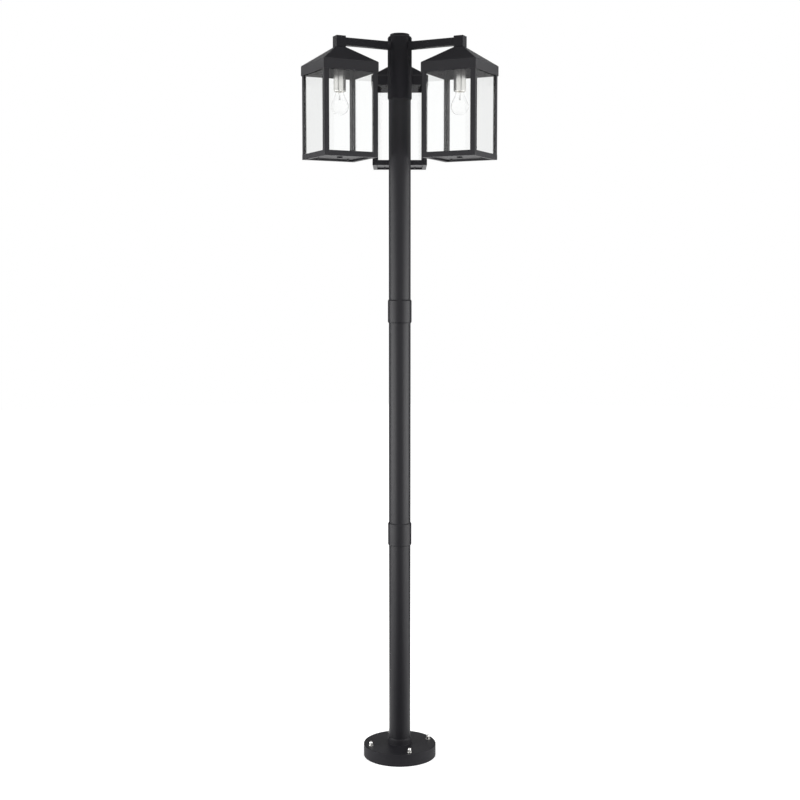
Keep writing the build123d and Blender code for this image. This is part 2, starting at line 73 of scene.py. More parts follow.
# ---- Places read from the frame ----
def shift(x=0.0, y=0.0, z=0.0):
    return Matrix.Translation((x, y, z))


def rotate(axis, turn=pi / 2):
    """A turn about an axis, a quarter one unless it is given."""
    return Matrix.Rotation(turn, 4, axis)


def heights(node):
    """Foot and top of a CAD node."""
    low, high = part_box(node)
    return low[2], high[2]


def lantern_axes(side):
    """Matrix that puts a piece made around the origin where one lantern hangs."""
    low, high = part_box(f"{side}_threaded_rod")
    x, y = (low[0] + high[0]) / 2, (low[1] + high[1]) / 2
    return shift(x, y) @ rotate("Z", atan2(y, x))


def arm_reach():
    """From the post's axis to a lantern's axis."""
    return lantern_axes("rear").translation.length


# ---- Shaping ----
def path(bm, points, closed=False):
    """A chain of edges through points given as distance from the axis and height."""
    verts = [bm.verts.new((x, 0, z)) for x, z in points]
    ends = verts[1:] + verts[:1] if closed else verts[1:]
    return verts + [bm.edges.new(pair) for pair in zip(verts, ends)]


def arc(centre, radius, start, end, steps):
    """Points of an arc, with its angles in degrees."""
    turns = [radians(start + (end - start) * step / steps) for step in range(steps + 1)]
    return [(centre[0] + radius * cos(turn), centre[1] + radius * sin(turn)) for turn in turns]


def verts_in(parts):
    return [part for part in parts if isinstance(part, bmesh.types.BMVert)]


def edges_in(parts):
    return [part for part in parts if isinstance(part, bmesh.types.BMEdge)]


def highest(edge):
    """Height of an edge's upper end."""
    return max(vert.co.z for vert in edge.verts)


def sideways(spot):
    """Half the width of the square around Z that a spot lies on."""
    return max(abs(spot.x), abs(spot.y))


def merge(bm, distance=0.2 * NEAR):
    """Join vertices that meet."""
    bmesh.ops.remove_doubles(bm, verts=bm.verts[:], dist=distance)


def agree(bm):
    """Turn faces so that neighbours agree on which side is out."""
    bmesh.ops.recalc_face_normals(bm, faces=bm.faces[:])
    return bm


def sweep(bm, geom, steps, rise=0.0, laps=1, axis=(0, 0, 1), merged=False):
    """Spin parts around an axis through the origin, moving them along it by a rise at every step."""
    bmesh.ops.spin(
        bm, geom=geom, cent=(0, 0, 0), axis=axis, dvec=Vector(axis) * rise,
        angle=2 * pi * laps, steps=steps * laps, use_merge=merged, use_duplicate=False,
    )


def ring(inner, outer, foot, top):
    """Outline of an upright tube."""
    return [(inner, foot), (outer, foot), (outer, top), (inner, top)]


def turned(points, steps=ROUND, closed=True):
    """A solid of revolution about Z."""
    bm = bmesh.new()
    sweep(bm, path(bm, points, closed), steps, merged=True)
    merge(bm)
    return agree(bm)


def pin(points):
    """A small solid of revolution, from an outline that starts and ends on the axis."""
    return turned(points, SMALL_ROUND, closed=False)


def squared(points):
    """A shell with four alike sides, from half its width at each height."""
    bm = turned([(x * sqrt(2), z) for x, z in points], steps=4)
    bm.transform(rotate("Z", pi / 4))
    return bm


def sliced(bm, point, normal):
    """Take away what lies beyond a plane, and give the edges of the cut."""
    return edges_in(bmesh.ops.bisect_plane(
        bm, geom=bm.verts[:] + bm.edges[:] + bm.faces[:], dist=TOUCH,
        plane_co=point, plane_no=normal, clear_outer=True,
    )["geom_cut"])


def cut(bm, point, normal):
    """Take away what lies beyond a plane and close the cut."""
    rim = sliced(bm, point, normal)
    if rim:
        bmesh.ops.holes_fill(bm, edges=rim, sides=0)


def threaded(points, pitch, steps, foot, top):
    """A helical skin: the outline rises by one pitch in a turn, and is then cut flat at both ends."""
    bm = bmesh.new()
    sweep(bm, path(bm, points), steps, pitch / steps)
    merge(bm, NEAR)
    sliced(bm, (0, 0, foot), (0, 0, -1))
    sliced(bm, (0, 0, top), (0, 0, 1))
    agree(bm)
    if sum(face.normal.dot(face.calc_center_median() * Vector((1, 1, 0))) for face in bm.faces) < 0:
        bmesh.ops.reverse_faces(bm, faces=bm.faces[:])
    return bm


def round_edges(bm, radius, segments=2, sharper=30, chosen=lambda edge: True):
    """Round the edges that turn by more than an angle in degrees."""
    edges = [
        edge for edge in bm.edges
        if edge.is_manifold and edge.calc_face_angle() > radians(sharper) and chosen(edge)
    ]
    bmesh.ops.bevel(
        bm, geom=edges, offset=radius, offset_type="OFFSET", segments=segments,
        profile=0.5, affect="EDGES", material=-1, clamp_overlap=True,
    )
    return bm


def box(length, width, foot, top, radius=0.0, segments=2):
    """A block centred on the axis, with rounded edges."""
    bm = bmesh.new()
    bmesh.ops.create_cube(bm, size=1)
    bm.transform(shift(z=(foot + top) / 2) @ Matrix.Diagonal((length, width, top - foot, 1)))
    if radius:
        round_edges(bm, radius, segments)
    return bm


def prism(radius, foot, top, sides=SMALL_ROUND):
    """An upright prism, or a cylinder with many sides."""
    bm = bmesh.new()
    bmesh.ops.create_cone(
        bm, cap_ends=True, segments=sides, radius1=radius, radius2=radius, depth=top - foot
    )
    bm.transform(shift(z=(foot + top) / 2))
    return bm


def hexagon(width, foot, top):
    """A hexagon nut's body, with its corners turned down to a cone at both ends."""
    slant = radians(30)
    rim = width / 2 * 0.97
    steps = 24
    bm = prism(width / 2 / cos(slant), foot, top, 6)
    for step in range(steps):
        turn = 2 * pi * step / steps
        outward = Vector((cos(turn), sin(turn), 0))
        for height, direction in ((top, 1), (foot, -1)):
            edge = outward * rim + Vector((0, 0, height))
            cut(bm, edge, outward * sin(slant) + Vector((0, 0, direction * cos(slant))))
    return bm


def folded(section, length, bend):
    """The outside of sheet metal folded along Y."""
    bm = bmesh.new()
    edges = edges_in(path(bm, section))
    far = verts_in(bmesh.ops.extrude_edge_only(bm, edges=edges)["geom"])
    bmesh.ops.translate(bm, verts=far, vec=(0, length, 0))
    bm.transform(shift(y=-length / 2))
    agree(bm)
    return round_edges(bm, bend, segments=4)


def outwards(bm, inside):
    """Turn an open sheet so that its faces look away from a point."""
    agree(bm)
    face = max(bm.faces, key=lambda f: f.calc_area())
    face.normal_update()
    if face.normal.dot(face.calc_center_median() - Vector(inside)) < 0:
        bmesh.ops.reverse_faces(bm, faces=bm.faces[:])
    bm.normal_update()


def thickened(bm, sheet):
    """Give a sheet's outside its thickness, inwards."""
    bmesh.ops.solidify(bm, geom=bm.faces[:], thickness=sheet)
    return bm


def joined(*parts):
    """One bmesh from several."""
    whole = parts[0]
    for part in parts[1:]:
        mesh = bpy.data.meshes.new("joining")
        part.to_mesh(mesh)
        part.free()
        whole.from_mesh(mesh)
        bpy.data.meshes.remove(mesh)
    return whole


def copies(make, places):
    """The same shape at several places."""
    made = []
    for place in places:
        bm = make()
        bm.transform(place)
        made.append(bm)
    return joined(*made)


def quarter_turns():
    """Four places about Z."""
    return [rotate("Z", quarter * pi / 2) for quarter in range(4)]


def from_frame(node):
    """A merged copy of a CAD node, with its flat faces in one piece where they can be."""
    bm = bmesh.new()
    bm.from_mesh(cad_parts[node].data)
    merge(bm)
    bmesh.ops.dissolve_limit(
        bm, angle_limit=radians(0.5), use_dissolve_boundaries=False, verts=bm.verts[:], edges=bm.edges[:]
    )
    return bm


def placed(name, data):
    """A new object in the scene."""
    made = bpy.data.objects.new(name, data)
    bpy.context.scene.collection.objects.link(made)
    return made


def meshed(name, bm, material):
    """A new object from a bmesh."""
    mesh = bpy.data.meshes.new(name)
    bm.to_mesh(mesh)
    bm.free()
    mesh.materials.append(material)
    return placed(name, mesh)


def dress(name, bm, material, slot, *nodes, body="post", smooth=35, weighted=True):
    """Make a finished piece at the origin, on its body, in place of its CAD nodes."""
    piece = meshed(name, bm, material)
    piece.data.shade_smooth()
    piece.data.set_sharp_from_angle(angle=radians(smooth))
    if weighted:
        piece.modifiers.new("Even shading", "WEIGHTED_NORMAL").keep_sharp = True
    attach(piece, body)
    if nodes:
        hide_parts(*nodes)


def hang(side, name, bm, material, slot, node=None, **how):
    """Dress a lantern's piece that was made around the lantern's own axis."""
    bm.transform(lantern_axes(side))
    nodes = [f"{side}_{node}"] if node else []
    dress(f"{side}_{name}", bm, material, slot, *nodes, **how)


# ---- Materials ----
SEEN = ("Camera", "Glossy", "Transmission")     # rays that bring the eye a picture


class Weave:
    """Short ways to add the nodes that a finish needs."""

    def __init__(self, owner):
        self.tree = owner.node_tree
        self.shader = self.tree.nodes.get("Principled BSDF")

    @cached_property
    def place(self):
        return self.node("ShaderNodeTexCoord").outputs["Object"]

    def feed(self, node, *sources, **values):
        """Link a node's first inputs, give it values by input name, and settings in lower case."""
        for source, target in zip(sources, node.inputs):
            self.tree.links.new(source, target)
        for name, value in values.items():
            if name[0].islower():
                setattr(node, name, value)
                continue
            target = node.inputs[name.replace("_", " ")]
            if isinstance(value, bpy.types.NodeSocket):
                self.tree.links.new(value, target)
            else:
                target.default_value = value
        return node

    def node(self, kind, *sources, **values):
        return self.feed(self.tree.nodes.new(kind), *sources, **values)

    def set(self, **values):
        """Values and sources of the shader itself."""
        self.feed(self.shader, **values)

    def colour(self, factor, dark, light):
        """Mix the shader's colour from two."""
        mix = self.node("ShaderNodeMix", factor, data_type="RGBA")
        mix.inputs[6].default_value = (*dark, 1.0)
        mix.inputs[7].default_value = (*light, 1.0)
        self.set(Base_Color=mix.outputs[2])

    def noise(self, size, detail=3, roughness=0.5, place=None):
        """Noise whose features are about as large as size."""
        return self.node(
            "ShaderNodeTexNoise", place or self.place,
            Scale=1 / size, Detail=detail, Roughness=roughness,
        ).outputs["Fac"]

    def ranged(self, value, low, high, start=0.3, end=0.7):
        """A value spread over low to high."""
        return self.node(
            "ShaderNodeMapRange", value, From_Min=start, From_Max=end, To_Min=low, To_Max=high
        ).outputs["Result"]

    def bump(self, height, distance, **under):
        """Relief of a depth in metres."""
        return self.node(
            "ShaderNodeBump", Height=height, Distance=distance, Strength=1.0, **under
        ).outputs["Normal"]

    def any_of(self, *tests):
        """1 where any of several tests is 1."""
        result = tests[0]
        for test in tests[1:]:
            result = self.node("ShaderNodeMath", result, test, operation="MAXIMUM").outputs[0]
        return result

    def rays(self, *kinds):
        """1 for rays of any of these kinds."""
        path = self.node("ShaderNodeLightPath").outputs
        return self.any_of(*[path[f"Is {kind} Ray"] for kind in kinds])

    def show(self, shader):
        self.feed(self.tree.nodes["Material Output"], shader.outputs[0])


def material(name, weave, *measures, **values):
    """The material of a name, woven when it is first asked for."""
    made = bpy.data.materials.get(name)
    if not made:
        made = bpy.data.materials.new(name)
        made.use_nodes = True
        w = Weave(made)
        w.set(**values)
        weave(w, *measures)
    return made


def finishes():
    return bpy.context.scene.lamp_post_finish


def shaded(colour, times):
    """A colour made darker or lighter."""
    return [channel * times for channel in colour]


def textured(w, rough, grain, relief):
    """Fine-textured black powder coat."""
    colour = finishes().coat_colour
    w.colour(w.noise(60 * MM, 4), shaded(colour, 0.9), shaded(colour, 1.1))
    grains = w.noise(grain, 2, 0.6)
    ripple = w.bump(w.noise(9 * MM, 1), relief * 0.5)
    w.set(
        Roughness=w.ranged(grains, rough - 0.06, rough + 0.06),
        Normal=w.bump(grains, relief, Normal=ripple),
    )


def black_coat(name, gloss, rough, grain=0.7 * MM, relief=0.04 * MM):
    return material(name, textured, rough, grain, relief, IOR=1.5, Specular_IOR_Level=gloss)


def powder_coat():
    """The coat on tubes and sheet metal."""
    return black_coat("Black powder coat", finishes().coat_gloss, finishes().coat_roughness)


def arm_coat():
    """The darker coat on the hub, the arms and the end blocks."""
    return black_coat("Deep black coat", finishes().arm_gloss, finishes().coat_roughness)


def cast_coat():
    """The same coat over a sand casting, duller and coarser."""
    measures = (finishes().cast_gloss, finishes().cast_roughness, 0.9 * MM, 0.08 * MM)
    return black_coat("Black coat on casting", *measures)


def drawn(w):
    """Metal with fine lines around its axis."""
    bright = finishes().nickel_colour
    w.colour(w.noise(40 * MM, 2), shaded(bright, 0.94), bright)
    stretched = w.node("ShaderNodeMapping", w.place, Scale=(30, 30, 2500)).outputs[0]
    lines = w.noise(1.0, place=stretched)
    w.set(Roughness=w.ranged(lines, 0.18, 0.28), Normal=w.bump(lines, 0.04 * MM))


def polished_nickel():
    return material("Polished nickel", drawn, Metallic=1.0)


def glazed(w):
    w.colour(w.noise(12 * MM), (0.78, 0.76, 0.70), (0.84, 0.83, 0.79))
    w.set(Roughness=w.ranged(w.noise(3 * MM), 0.16, 0.26), Normal=w.bump(w.noise(4 * MM, 2), 0.03 * MM))


def porcelain():
    return material("Glazed porcelain", glazed, IOR=1.52, Coat_Weight=0.5, Coat_Roughness=0.06)


def mottled(w, size, detail, dark, light, rough=None, relief=None):
    """A colour and a roughness that wander together. Relief is a size, a detail and a depth."""
    clouds = w.noise(size, detail)
    w.colour(clouds, dark, light)
    if rough:
        w.set(Roughness=w.ranged(clouds, *rough))
    if relief:
        w.set(Normal=w.bump(w.noise(*relief[:2]), relief[2]))


def bolt_nickel():
    bright = finishes().nickel_colour
    return material(
        "Nickel plate on steel", mottled, 3 * MM, 4, shaded(bright, 0.8), bright,
        (0.16, 0.3), (0.8 * MM, 2, 0.006 * MM), Metallic=1.0,
    )


def zinc_steel():
    return material(
        "Zinc-plated steel", mottled, 2.5 * MM, 4, (0.50, 0.50, 0.47), (0.66, 0.66, 0.64),
        (0.28, 0.42), (0.5 * MM, 3, 0.008 * MM), Metallic=1.0,
    )


def black_oxide():
    return material(
        "Black oxide on steel", mottled, 1.5 * MM, 4, (0.030, 0.030, 0.033), (0.062, 0.060, 0.060),
        (0.3, 0.45), (0.4 * MM, 3, 0.01 * MM), Metallic=0.85,
    )


def lamp_brass():
    return material(
        "Rolled brass", mottled, 4 * MM, 4, (0.56, 0.40, 0.16), (0.76, 0.58, 0.27),
        (0.2, 0.36), (0.6 * MM, 3, 0.005 * MM), Metallic=1.0,
    )


def cap_metal():
    return material(
        "Bulb cap metal", mottled, 3 * MM, 4, (0.62, 0.61, 0.58), (0.76, 0.75, 0.72),
        (0.18, 0.3), (0.5 * MM, 3, 0.004 * MM), Metallic=1.0,
    )


def cap_insulator():
    dark, light = (0.010, 0.010, 0.014), (0.022, 0.020, 0.026)
    return material("Black cap glass", mottled, 2 * MM, 3, dark, light, (0.08, 0.18), IOR=1.5)


def filament_wire():
    dark, light = (0.16, 0.155, 0.15), (0.26, 0.25, 0.24)
    return material("Drawn tungsten", mottled, 0.3 * MM, 3, dark, light, (0.3, 0.5), Metallic=1.0)


def flag_cloth():
    dark, light = [0.004] * 3, [0.008] * 3
    values = {"Roughness": 1.0, "Specular_IOR_Level": 0.0}
    return material("Black cloth", mottled, 1 * MM, 3, dark, light, **values)


def clear(w, size, dark, light):
    """Glass that lamps, soft light and what is seen through much glass pass without bending."""
    w.colour(w.noise(size, 1), dark, light)
    depth = w.node("ShaderNodeLightPath").outputs["Transmission Depth"]
    deep = w.node("ShaderNodeMath", depth, operation="GREATER_THAN")
    deep.inputs[1].default_value = REFRACTIONS - 0.5
    passing = w.any_of(w.rays("Shadow", "Diffuse"), deep.outputs[0])
    unbent = w.node("ShaderNodeBsdfTransparent")
    w.show(w.node("ShaderNodeMixShader", passing, w.shader.outputs[0], unbent.outputs[0]))


def pane_glass():
    tints = (0.990, 0.996, 0.993), (0.996, 1.0, 0.998)
    values = {"Transmission_Weight": 1.0, "IOR": 1.42, "Roughness": 0.0}
    return material("Clear float glass", clear, 120 * MM, *tints, **values)


def bulb_clear_glass():
    """Blown glass. Its index is low, so that the thin wall's outline stays faint."""
    values = {"Transmission_Weight": 1.0, "IOR": 1.2, "Roughness": 0.0}
    return material("Clear blown glass", clear, 30 * MM, [0.99] * 3, [1.0] * 3, **values)


def self_lit(w, near, far):
    """White to the eye, in metal and in glass, while it keeps its shadow."""
    w.colour(w.noise(0.9, 2), [0.86] * 3, [0.88] * 3)
    away = w.node("ShaderNodeVectorMath", w.place, operation="LENGTH").outputs["Value"]
    lift = w.ranged(away, near, far, 0.3, 1.3)
    level = w.node("ShaderNodeMath", w.rays(*SEEN), lift, operation="MULTIPLY")
    glow = w.node("ShaderNodeEmission", Strength=level.outputs[0])
    w.show(w.node("ShaderNodeAddShader", w.shader.outputs[0], glow.outputs[0]))


def floor_white(stage):
    values = {"Roughness": 0.9, "Specular_IOR_Level": 0.0}
    return material("White studio floor", self_lit, stage.floor_lift, stage.far_lift, **values)


# ---- What a user can change ----
def length(name, description, value):
    least = 0.1 * MM
    return FloatProperty(name=name, description=description, default=value, min=least, unit="LENGTH")


def pair(name, description, values):
    """Two lengths that belong together."""
    return FloatVectorProperty(
        name=name, description=description, size=2, default=values, min=0.0, unit="LENGTH")


def share(name, description, value):
    return FloatProperty(
        name=name, description=description, default=value, min=0.0, max=1.0, subtype="FACTOR")


def colour(name, description, value):
    return FloatVectorProperty(
        name=name, description=description, default=value, min=0.0, max=1.0, subtype="COLOR")


def level(name, description, value, **unit):
    """Anything from 0 up."""
    return FloatProperty(name=name, description=description, default=value, min=0.0, **unit)


def power(name, description, value):
    return level(name, description, value, unit="POWER")


class LampPostMetal(PropertyGroup):
    edge: length("Machined edge", "Rounding of turned and sawn edges", 0.3 * MM)
    tube_wall: length("Tube wall", "Wall of the post's tubes", 2.0 * MM)
    sleeve_slope: pair(
        "Sleeve slope", "Width and height of the slope on a coupler's ends", (2.8 * MM, 4.0 * MM))
    block_edge: length("Block edge", "Rounding of the end blocks", 0.8 * MM)
    arm_corner: length("Arm corner", "Outer corner radius of the square arms", 1.5 * MM)
    arm_wall: length("Arm wall", "Wall of the square arms", 2.0 * MM)
    washer_radii: pair(
        "Washer", "Bore radius and outer radius of the anchor washers", (4.3 * MM, 8.0 * MM))
    nut_width: length("Nut width", "Anchor nut across its flats", 13.0 * MM)
    nut_hexagon: length("Nut hexagon", "Height of the anchor nut's hexagon", 6.5 * MM)
    nut_shoulder: length("Nut shoulder", "From the nut's flats to its dome", 0.4 * MM)


class LampPostSheet(PropertyGroup):
    roof_sheet: length("Roof sheet", "Thickness of the roof's sheet metal", 2.3 * MM)
    roof_fold: length("Roof fold", "Outer radius of the roof's folds", 1.6 * MM)
    frame_sheet: length("Frame sheet", "Thickness of corner angles, rails and bottom plates", 1.5 * MM)
    frame_fold: length("Frame fold", "Outer radius of the folds in angles and rails", 1.8 * MM)
    angle_leg: length("Angle leg", "Width of a corner angle's legs", 17.0 * MM)
    rail_lip: length("Rail lip", "Width of a rail's underside", 15.0 * MM)
    mitre_gap: length("Mitre gap", "Gap between two rails at a corner", 0.2 * MM)
    drain: length("Drain", "Diameter of the drain pressed into the bottom plate", 19.0 * MM)
    screw_inset: length("Screw inset", "From a lantern's rails to its plate screws and straps", 27.0 * MM)


class LampPostBulb(PropertyGroup):
    glass_wall: length("Glass wall", "Thickness of the bulb's glass", 0.35 * MM)
    skin: length("Skin", "Sheet of the bulb's cap and of the brass shell", 0.3 * MM)
    thread_pitch: length("Thread pitch", "Rise of the lamp thread in one turn", 3.6 * MM)
    thread_depth: length("Thread depth", "Depth of the rolled lamp thread", 0.6 * MM)
    coil_turns: IntProperty(
        name="Coil turns", description="Turns of the filament's coil", default=18, min=2)


class LampPostFinish(PropertyGroup):
    coat_colour: colour("Coat", "Colour of the powder coat", (0.0090, 0.0086, 0.0108))
    coat_gloss: share("Coat gloss", "Strength of the powder coat's reflection", 0.24)
    coat_roughness: share("Coat roughness", "Roughness of the powder coat", 0.42)
    arm_gloss: share("Arm gloss", "Strength of the reflection of the coat on hub and arms", 0.13)
    cast_gloss: share("Casting gloss", "Strength of the reflection of the coat on the cast base", 0.17)
    cast_roughness: share("Casting roughness", "Roughness of the coat on the cast base", 0.6)
    nickel_colour: colour("Nickel", "Colour of the nickel plate", (0.80, 0.79, 0.765))


class LampPostStage(PropertyGroup):
    lens: FloatProperty(
        name="Lens", description="Focal length of the camera in millimetres", default=58.7, min=1.0)
    camera_back: length("Camera distance", "From the post's axis to the camera", 4.5715)
    camera_side: FloatProperty(
        name="Camera offset", description="How far the camera stands to the right of the post",
        default=0.9 * MM, unit="LENGTH")
    camera_height: length("Camera height", "Height of the camera above the floor", 1.6797)
    camera_pitch: FloatProperty(
        name="Camera pitch", description="How far the camera looks down",
        default=radians(5.0), subtype="ANGLE")
    low_light: power("Low light", "Power of each large soft light beside the foot of the post", 95.0)
    side_light: power("Side light", "Power of each large soft light beside the lanterns", 27.0)
    rear_light: power("Rear light", "Power of each soft light behind the lanterns", 7.0)
    top_light: power("Top light", "Power of the soft light overhead", 26.0)
    surround: level("Surround", "Brightness of the white room on the object", 0.45)
    floor_lift: level(
        "Floor lift", "How much brighter the floor under the post looks than it is lit", 0.42)
    far_lift: level("Far floor lift", "How much brighter the floor away from the post looks", 0.75)


# ---- Post ----
def outer_radius(node):
    """Radius of a round CAD node around the post's axis."""
    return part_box(node)[1][0]


class LAMP_POST_OT_tubes(Operator):
    """The three lengths of round tube"""
    bl_idname = "lamp_post.tubes"
    bl_label = "Tubes"

    def execute(self, context):
        metal = context.scene.lamp_post_metal
        for level in ("lower", "middle", "upper"):
            foot, top = heights(f"{level}_tube")
            radius = outer_radius(f"{level}_tube")
            bm = round_edges(turned(ring(radius - metal.tube_wall, radius, foot, top)), metal.edge)
            dress(f"{level}_pole", bm, powder_coat(), "post_black", f"{level}_tube")
        return {"FINISHED"}


class LAMP_POST_OT_couplers(Operator):
    """The sleeves over the two joints of the post"""
    bl_idname = "lamp_post.couplers"
    bl_label = "Couplers"

    def execute(self, context):
        metal = context.scene.lamp_post_metal
        play = 0.1 * MM
        bore = outer_radius("lower_tube") + play
        width, height = metal.sleeve_slope
        for level in ("lower", "upper"):
            foot, top = heights(f"{level}_coupler")
            radius = outer_radius(f"{level}_coupler")
            bm = turned([
                (bore, foot), (radius - width, foot), (radius, foot + height),
                (radius, top - height), (radius - width, top), (bore, top),
            ])
            round_edges(bm, metal.edge, sharper=20)
            dress(f"{level}_sleeve", bm, powder_coat(), "post_black", f"{level}_coupler")
        return {"FINISHED"}


class LAMP_POST_OT_base(Operator):
    """The cast base with its socket, bolt bosses and ribs"""
    bl_idname = "lamp_post.base"
    bl_label = "Base"

    def execute(self, context):
        bm = from_frame("base_casting")
        dress("cast_base", bm, cast_coat(), "base_black", "base_casting", smooth=25)
        return {"FINISHED"}


class LAMP_POST_OT_anchor_nuts(Operator):
    """Plated washers and domed nuts on the anchor bolts"""
    bl_idname = "lamp_post.anchor_nuts"
    bl_label = "Anchor nuts"

    def execute(self, context):
        metal = context.scene.lamp_post_metal
        foot, top = heights("anchor_washers")
        nut_foot, nut_top = heights("anchor_nuts")
        hexagon_top = nut_foot + metal.nut_hexagon
        dome_radius = metal.nut_width / 2 - metal.nut_shoulder
        dome_foot = hexagon_top - 1 * MM

        def washer():
            outline = ring(*metal.washer_radii, foot, top)
            return round_edges(turned(outline, SMALL_ROUND), metal.edge)

        def nut():
            outline = [(0, dome_foot), (dome_radius, dome_foot)]
            outline += arc((0, nut_top - dome_radius), dome_radius, 0, 90, 14)
            return joined(hexagon(metal.nut_width, nut_foot, hexagon_top), pin(outline))

        places = [shift(*spot) for spot in bolt_spots()]
        dress("base_washers", copies(washer, places), bolt_nickel(), "anchor_nickel", "anchor_washers")
        dress("base_cap_nuts", copies(nut, places), bolt_nickel(), "anchor_nickel", "anchor_nuts", smooth=22)
        return {"FINISHED"}


def bolt_spots():
    """Centres of the four anchor bolts on the floor plan, found in the washers' mesh."""
    apart = 30 * MM     # more than a washer's width, and less than the way to the next bolt
    groups = []
    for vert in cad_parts["anchor_washers"].data.vertices:
        near = [group for group in groups if (group[0] - vert.co).xy.length < apart]
        if near:
            near[0].append(vert.co)
        else:
            groups.append([vert.co])
    return [
        [(min(c[axis] for c in group) + max(c[axis] for c in group)) / 2 for axis in (0, 1)]
        for group in groups
    ]


class LAMP_POST_OT_hub(Operator):
    """The hub with its bosses, its plug and its two grip screws"""
    bl_idname = "lamp_post.hub"
    bl_label = "Hub"

    def execute(self, context):
        dress("arm_hub", from_frame("hub"), arm_coat(), "post_black", "hub", smooth=25)

        foot, top = heights("hub_cap")
        radius = outer_radius("hub_cap")
        seat = heights("hub")[1]
        spigot = radius - 5.7 * MM
        slope_width, slope_height = 1.5 * MM, 1.2 * MM
        bm = turned([
            (0, foot), (spigot, foot), (spigot, seat), (radius, seat),
            (radius, top - slope_height), (radius - slope_width, top), (0, top),
        ], closed=False)
        round_edges(bm, context.scene.lamp_post_metal.edge, sharper=20)
        dress("hub_plug", bm, arm_coat(), "post_black", "hub_cap")
        dress("hub_grub_screws", grub_screws(), black_oxide(), "black_steel", "hub_set_screws")
        return {"FINISHED"}


def grub_screws():
    """Two short screws with hexagon sockets in the back of the hub."""
    middle = sum(heights("hub_set_screws")) / 2
    outer = outer_radius("lower_coupler")
    radius = 3 * MM

    def screw():
        bm = prism(radius, outer_radius("lower_tube"), outer)
        socket_in(bm, outer, 3 * MM, 2 * MM)
        round_edges(bm, 0.25 * MM, sharper=50)
        bm.transform(rotate("Y"))
        return bm

    return copies(screw, [shift(z=middle) @ rotate("Z", radians(turn)) for turn in (60, 120)])


def socket_in(bm, height, across, depth):
    """Press a hexagon socket into the flat end face at a height."""
    rim = 0.3 * MM
    face = next(f for f in bm.faces if len(f.verts) > 6 and abs(f.calc_center_median().z - height) < TOUCH)
    inwards = -1 if face.normal.z > 0 else 1
    bmesh.ops.inset_individual(bm, faces=[face], thickness=rim, depth=0)
    centre = face.calc_center_median()
    for vert in face.verts:
        turn = atan2(vert.co.y - centre.y, vert.co.x - centre.x)
        reach = across / 2 / cos(turn % (pi / 3) - pi / 6)
        vert.co = centre + Vector((cos(turn), sin(turn), 0)) * reach
    pressed = bmesh.ops.extrude_face_region(bm, geom=[face])["geom"]
    bmesh.ops.delete(bm, geom=[face], context="FACES_ONLY")
    bmesh.ops.translate(bm, verts=verts_in(pressed), vec=(0, 0, inwards * depth))


# ---- Arms, end blocks and roofs ----
def half_width(node):
    """Half the width of a rear lantern's piece, which is square to the frame's axes."""
    low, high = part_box(node)
    return (high[0] - low[0]) / 2


class LAMP_POST_OT_arms(Operator):
    """The square arms and the blocks at their ends"""
    bl_idname = "lamp_post.arms"
    bl_label = "Arms"

    def execute(self, context):
        metal = context.scene.lamp_post_metal
        low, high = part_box("rear_arm")
        start, end = low[1] - arm_reach(), high[1] - arm_reach()
        block_width = 2 * half_width("rear_end_block")
        for side in SIDES:
            foot, top = heights(f"{side}_arm")
            bm = square_tube(top - foot, metal.arm_wall, end - start, metal.arm_corner)
            bm.transform(shift((start + end) / 2, z=(foot + top) / 2))
            hang(side, "square_arm", bm, arm_coat(), "lantern_black", "arm")

            bm = box(block_width, block_width, *heights(f"{side}_end_block"), metal.block_edge)
            hang(side, "block", bm, arm_coat(), "lantern_black", "end_block")
        return {"FINISHED"}


def square_tube(width, wall, length, corner):
    """A square tube along X with rounded corners."""
    half = width / 2
    inside = half - wall
    bm = squared(ring(inside, half, -length / 2, length / 2))

    def along(edge):
        outer = min(sideways(vert.co) for vert in edge.verts) > (half + inside) / 2
        return edge.calc_length() > length / 2 and outer

    round_edges(bm, corner, segments=4, chosen=along)
    bm.transform(rotate("Y"))
    return bm


class LAMP_POST_OT_roofs(Operator):
    """The folded roofs with their upright fascias"""
    bl_idname = "lamp_post.roofs"
    bl_label = "Roofs"

    def execute(self, context):
        sheet = context.scene.lamp_post_sheet
        half, half_block = half_width("rear_roof"), half_width("rear_end_block")
        for side in SIDES:
            bm = roof_shell(*heights(f"{side}_roof"), half, half_block, sheet)
            hang(side, "hood", bm, powder_coat(), "lantern_black", "roof")
        return {"FINISHED"}


def roof_shell(foot, top, half, half_block, sheet):
    """A pyramid on an upright fascia, folded from one sheet."""
    fascia_height = 33 * MM
    top_wall = 3 * MM
    eave = foot + fascia_height
    slope = atan2(top - eave, half - half_block)
    rise = sheet.roof_sheet / cos(slope)
    inside = half - sheet.roof_sheet
    ceiling = top - top_wall
    inner_eave = eave + sheet.roof_sheet * tan(slope) - rise
    inner_top = half_block + (top_wall - rise) / tan(slope)
    bm = squared([
        (ROD_HOLE, top), (half_block, top), (half, eave), (half, foot),
        (inside, foot), (inside, inner_eave), (inner_top, ceiling), (ROD_HOLE, ceiling),
    ])

    def outside(spot):
        if spot.z <= eave + NEAR:
            return sideways(spot) > half - 0.1 * MM
        return spot.z > top - 0.1 * MM and sideways(spot) > half_block - 0.1 * MM

    def fold(edge):
        return all(outside(vert.co) for vert in edge.verts) and highest(edge) > foot + 1 * MM

    round_edges(bm, sheet.roof_fold, segments=4, sharper=15, chosen=fold)
    round_edges(bm, 0.35 * MM, sharper=60, chosen=lambda edge: highest(edge) < foot + NEAR)
    return bm


